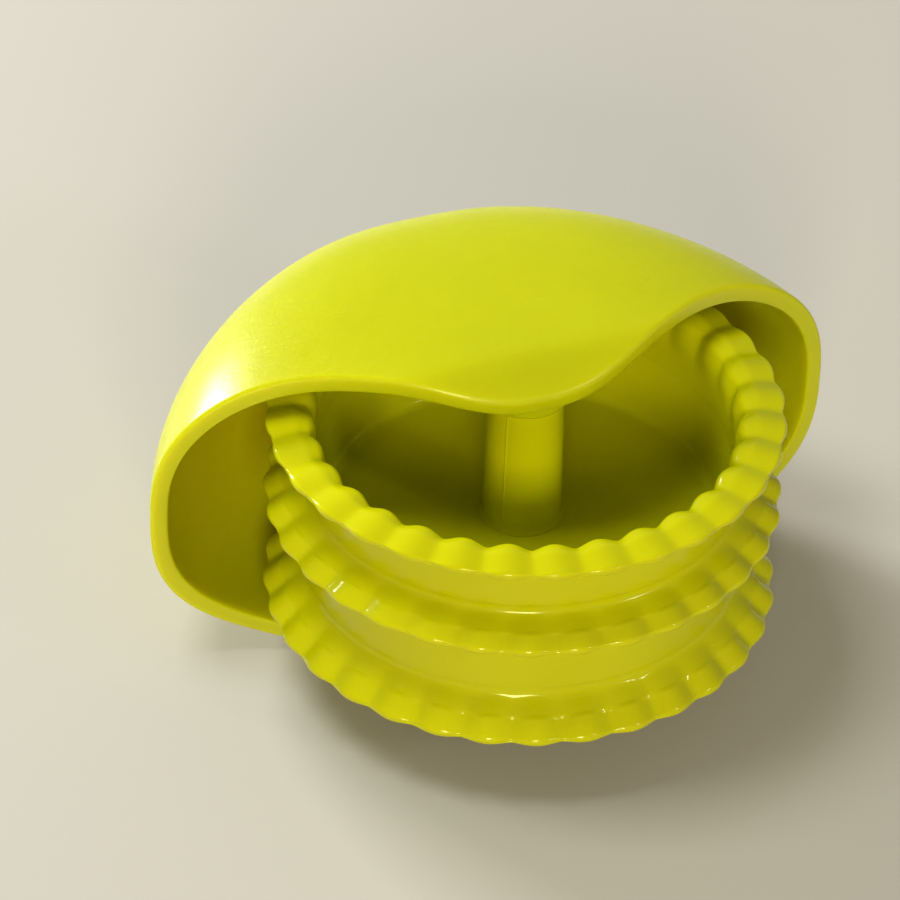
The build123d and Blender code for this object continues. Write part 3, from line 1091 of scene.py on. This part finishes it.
@dataclass
class CrestWheel(FlutedWheel):
    """Upper wheel: a low fluted crest round the cup, over a plain skirt.

    The crest has an outer band from the lip up to a faint ridge and an inner band
    from there to the cup's edge, and its flutes die away down the cup's side.
    """

    skirt: float = 0.0252
    lip: float = UPPER_LIP
    crest_inset: float = 0.0031
    crest_rise: float = 0.0010
    crest_width: float = 0.0048
    crest_edge: float = 0.0003
    edge_rise: float = 0.0005
    half_lip: float = 0.00033
    collar_inset: float = 0.0033
    collar_height: float = 0.0009
    collar_round: float = 0.0004
    ridge_round: float = 0.0005
    crest_edge_round: float = 0.0007
    cup_lip: float = 0.0002
    cup_lip_drop: float = 0.0014
    cup_round: float = 0.0010
    swell_crest: float = 0.00034
    swell_band: float = 0.00010
    swell_lip: float = 0.00024
    fade_start: float = 0.0004
    fade_depth: float = 0.0052

    def build(self, palette: Palette) -> list[Piece]:
        """Make the wheel from its section.

        Args:
            palette: Finished materials.

        Returns:
            The new piece.
        """
        _, core_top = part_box("drum_core")
        lip, radius = self.lip, self.lip_radius
        low = lip - self.underside
        collar = low - self.collar_height
        ledge = core_top.z + CORE_TOP_RISE
        corners = np.array([
            (SEAT_RADIUS, self.skirt), (GROOVE_RADIUS, self.skirt), (GROOVE_RADIUS, collar),
            (radius - self.collar_inset, collar), (radius - self.collar_inset, low),
            (radius - self.slope_reach, lip - self.half_lip - self.slope_drop),
            (radius, lip - self.half_lip), (radius, lip + self.half_lip),
            (radius - self.crest_inset, lip + self.crest_rise),
            (radius - self.crest_width, lip + self.edge_rise),
            (CUP_RADIUS + self.cup_lip, lip - self.cup_lip_drop),
            (CUP_RADIUS, ledge), (SEAT_RADIUS, ledge),
        ])
        joint = 0.0
        radii = np.array([
            joint, joint, self.collar_round, self.edge_round, self.collar_round,
            self.edge_round, self.lip_round, self.lip_round, self.ridge_round,
            self.crest_edge_round, self.cup_round, joint, joint,
        ])
        outline = dense_loop(rounded_loop(corners, radii), WHEEL_SPACING)
        return self.finish(self.fluted(outline, self.swell(outline)), palette)

    def swell(self, outline: Array) -> Array:
        """Swell that is full on the crest's inner edge and dies away down the cup's side.

        Across the crest it is lip (1 - t) ** 2 + 2 band t (1 - t) + crest t ** 2, with t
        the share of the way in from the lip.

        Args:
            outline: Section as (radius, height) points.

        Returns:
            How far each point moves at a crown.
        """
        radius, height = outline[:, 0], outline[:, 1]
        down = np.clip((self.lip + self.fade_start - height) / self.fade_depth, 0, 1)
        inside = self.swell_crest * (1 - down) ** 2 * (1 + 2 * down)
        t = np.clip((self.lip_radius - radius) / (self.crest_width - self.crest_edge), 0, 1)
        outer = self.swell_lip * (1 - t) ** 2 + self.swell_crest * t**2
        outer += 2 * self.swell_band * t * (1 - t)
        most, start, width, slack = 0.3, 0.0012, 0.0020, 0.0001
        under = most * self.swell_lip * np.clip((radius - GROOVE_RADIUS - start) / width, 0, 1)
        below = (radius > GROOVE_RADIUS - slack) & (height < self.lip - self.half_lip)
        within = radius < self.lip_radius - self.crest_width + self.crest_edge
        return np.where(below, under, np.where(within, inside, outer))


@dataclass
class GrooveSleeve:
    """Smooth sleeve between the lower and the middle wheel."""

    low: float
    high: float

    def build(self, palette: Palette) -> list[Piece]:
        """Make the sleeve in place of its CAD node.

        Args:
            palette: Finished materials.

        Returns:
            The new piece.
        """
        corners = np.array([
            (SEAT_RADIUS, self.low), (GROOVE_RADIUS, self.low),
            (GROOVE_RADIUS, self.high), (SEAT_RADIUS, self.high),
        ])
        sleeve = turned_piece("groove_band", corners, np.zeros(len(corners)), DRUM_STEPS)
        palette.dress(sleeve, Slot.DRUM)
        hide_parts("groove_sleeve")
        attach(sleeve, Body.DRUM.value)
        return [sleeve]


# Studio


@dataclass(frozen=True)
class PhotoView:
    """The photograph's camera: a long lens that looks down on the open side."""

    azimuth: float = math.radians(-21.9)
    elevation: float = math.radians(38.70)
    roll: float = math.radians(-1.83)
    distance: float = 0.600
    focal_pixels: float = 5116.0
    frame_pixels: float = 900.0
    aim_right: float = 0.00805
    aim_down: float = 0.01451
    pivot_height: float = LOWER_LIP

    def place(self) -> None:
        """Make the camera, aimed so that the drum's axis falls where the photograph has it."""
        a, e = self.azimuth, self.elevation
        right = Vector((math.cos(a), math.sin(a), 0.0))
        forward = Vector((-math.sin(a) * math.cos(e), math.cos(a) * math.cos(e), -math.sin(e)))
        down = forward.cross(right)
        c, s = math.cos(self.roll), math.sin(self.roll)
        right, down = c * right + s * down, c * down - s * right
        pivot = Vector((0.0, 0.0, self.pivot_height))
        eye = pivot - right * self.aim_right - down * self.aim_down - forward * self.distance
        data = bpy.data.cameras.new("photo_camera")
        data.sensor_width = 36.0
        data.lens = self.focal_pixels / self.frame_pixels * data.sensor_width
        data.clip_start, data.clip_end = 0.01, 20.0
        camera = bpy.data.objects.new("photo_camera", data)
        turn = Matrix((right, -down, -forward)).transposed()
        camera.matrix_world = Matrix.Translation(eye) @ turn.to_4x4()
        bpy.context.scene.collection.objects.link(camera)
        bpy.context.scene.camera = camera


@dataclass(frozen=True)
class SoftLight:
    """One square soft light, which glossy surfaces may or may not mirror."""

    name: str
    place: tuple[float, float, float]
    size: float
    power: float
    tint: tuple[float, float, float] = (1.0, 1.0, 1.0)
    mirrored: bool = True
    aim: tuple[float, float, float] = (0.0, 0.01, 0.02)

    def make(self) -> None:
        """Add the light, turned towards its aim."""
        data = bpy.data.lights.new(self.name, "AREA")
        data.size, data.energy, data.color = self.size, self.power, self.tint
        light = bpy.data.objects.new(self.name, data)
        light.location = self.place
        light.visible_glossy = self.mirrored
        toward = Vector(self.aim) - Vector(self.place)
        light.rotation_euler = toward.to_track_quat("-Z", "Y").to_euler()
        bpy.context.scene.collection.objects.link(light)


@dataclass(frozen=True)
class Studio:
    """Plain pale floor and soft light, with the key from behind on the left."""

    floor_half: float = 3.0
    floor_tone: tuple[float, float, float] = (0.46, 0.44, 0.41)
    floor_roughness: float = 0.6
    sky: tuple[float, float, float] = (1.0, 0.94, 0.74)
    sky_strength: float = 0.22

    def build(self) -> None:
        """Make the floor, the world light and the lamps."""
        scene = bpy.context.scene
        scene.view_settings.view_transform = "Standard"
        half = self.floor_half
        mesh = bpy.data.meshes.new("floor")
        corners = [(-half, -half, 0.0), (half, -half, 0.0), (half, half, 0.0), (-half, half, 0.0)]
        mesh.from_pydata(corners, [], [(0, 1, 2, 3)])
        floor = bpy.data.objects.new("floor", mesh)
        scene.collection.objects.link(floor)
        material = bpy.data.materials.new("pale_floor")
        material.use_nodes = True
        shader = material.node_tree.nodes["Principled BSDF"]
        shader.inputs["Base Color"].default_value = (*self.floor_tone, 1.0)
        shader.inputs["Roughness"].default_value = self.floor_roughness
        mesh.materials.append(material)
        world = bpy.data.worlds.new("studio")
        world.use_nodes = True
        background = world.node_tree.nodes["Background"]
        background.inputs["Color"].default_value = (*self.sky, 1.0)
        background.inputs["Strength"].default_value = self.sky_strength
        scene.world = world
        SoftLight("window", (-0.33, 0.67, 0.29), 0.20, 8.0, (1.0, 1.0, 0.97)).make()
        SoftLight("skylight", (-0.28, 0.10, 0.74), 0.30, 3.4, (0.97, 1.0, 0.92), False).make()
        SoftLight("front_fill", (-0.26, -0.69, 0.31), 0.20, 4.3, (1.0, 0.89, 0.62)).make()
        SoftLight("side_card", (0.42, -0.60, 0.36), 0.10, 0.7, (1.0, 1.0, 0.95)).make()


def dress_cad_nodes(frame: dict, palette: Palette) -> None:
    """Give the CAD nodes that stay their finishes, in the slots that their meshes have.

    Args:
        frame: The loaded frame.
        palette: Finished materials.
    """
    finishes = {"axle_pin": Slot.PIN, "axle_plug": Slot.SHELL}
    for bearing in ("upper_washer", "lower_washer", "upper_bush", "lower_bush"):
        finishes[bearing] = Slot.BEARING
    for node, slot in finishes.items():
        for place in frame["nodes"][node].material_slots:
            place.material = palette.materials[slot]
        LOG.info("dressed %s", node)


def main() -> None:
    """Build the whole look in order and log the face count of each new piece."""
    logging.basicConfig(level=logging.INFO, format="%(message)s")
    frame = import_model()
    palette = Palette()
    middle = BrimWheel("middle_wheel", "middle_brim_wheel", phase=math.radians(277.8))
    lower = BrimWheel(
        "lower_wheel", "lower_brim_wheel", phase=math.radians(193.8), lip=LOWER_LIP,
        corner_rise=0.0035, ridge_inset=0.0019, ridge_rise=0.0020, ledge_radius=0.0232,
    )
    assemblies = [
        PalmShell(),
        DrumCore(),
        Post("upper_post", 1),
        Post("lower_post", -1),
        CrestWheel(
            "upper_wheel", "crest_wheel", phase=math.radians(98.8), skirt=middle.top + JOINT_GAP,
        ),
        middle,
        lower,
        GrooveSleeve(lower.top + JOINT_GAP, middle.lip - middle.underside - JOINT_GAP),
    ]
    for assembly in assemblies:
        for piece in assembly.build(palette):
            LOG.info("built %s: %d faces", piece.name, len(piece.data.polygons))
    dress_cad_nodes(frame, palette)
    PhotoView().place()
    Studio().build()


if __name__ == "__main__":
    main()
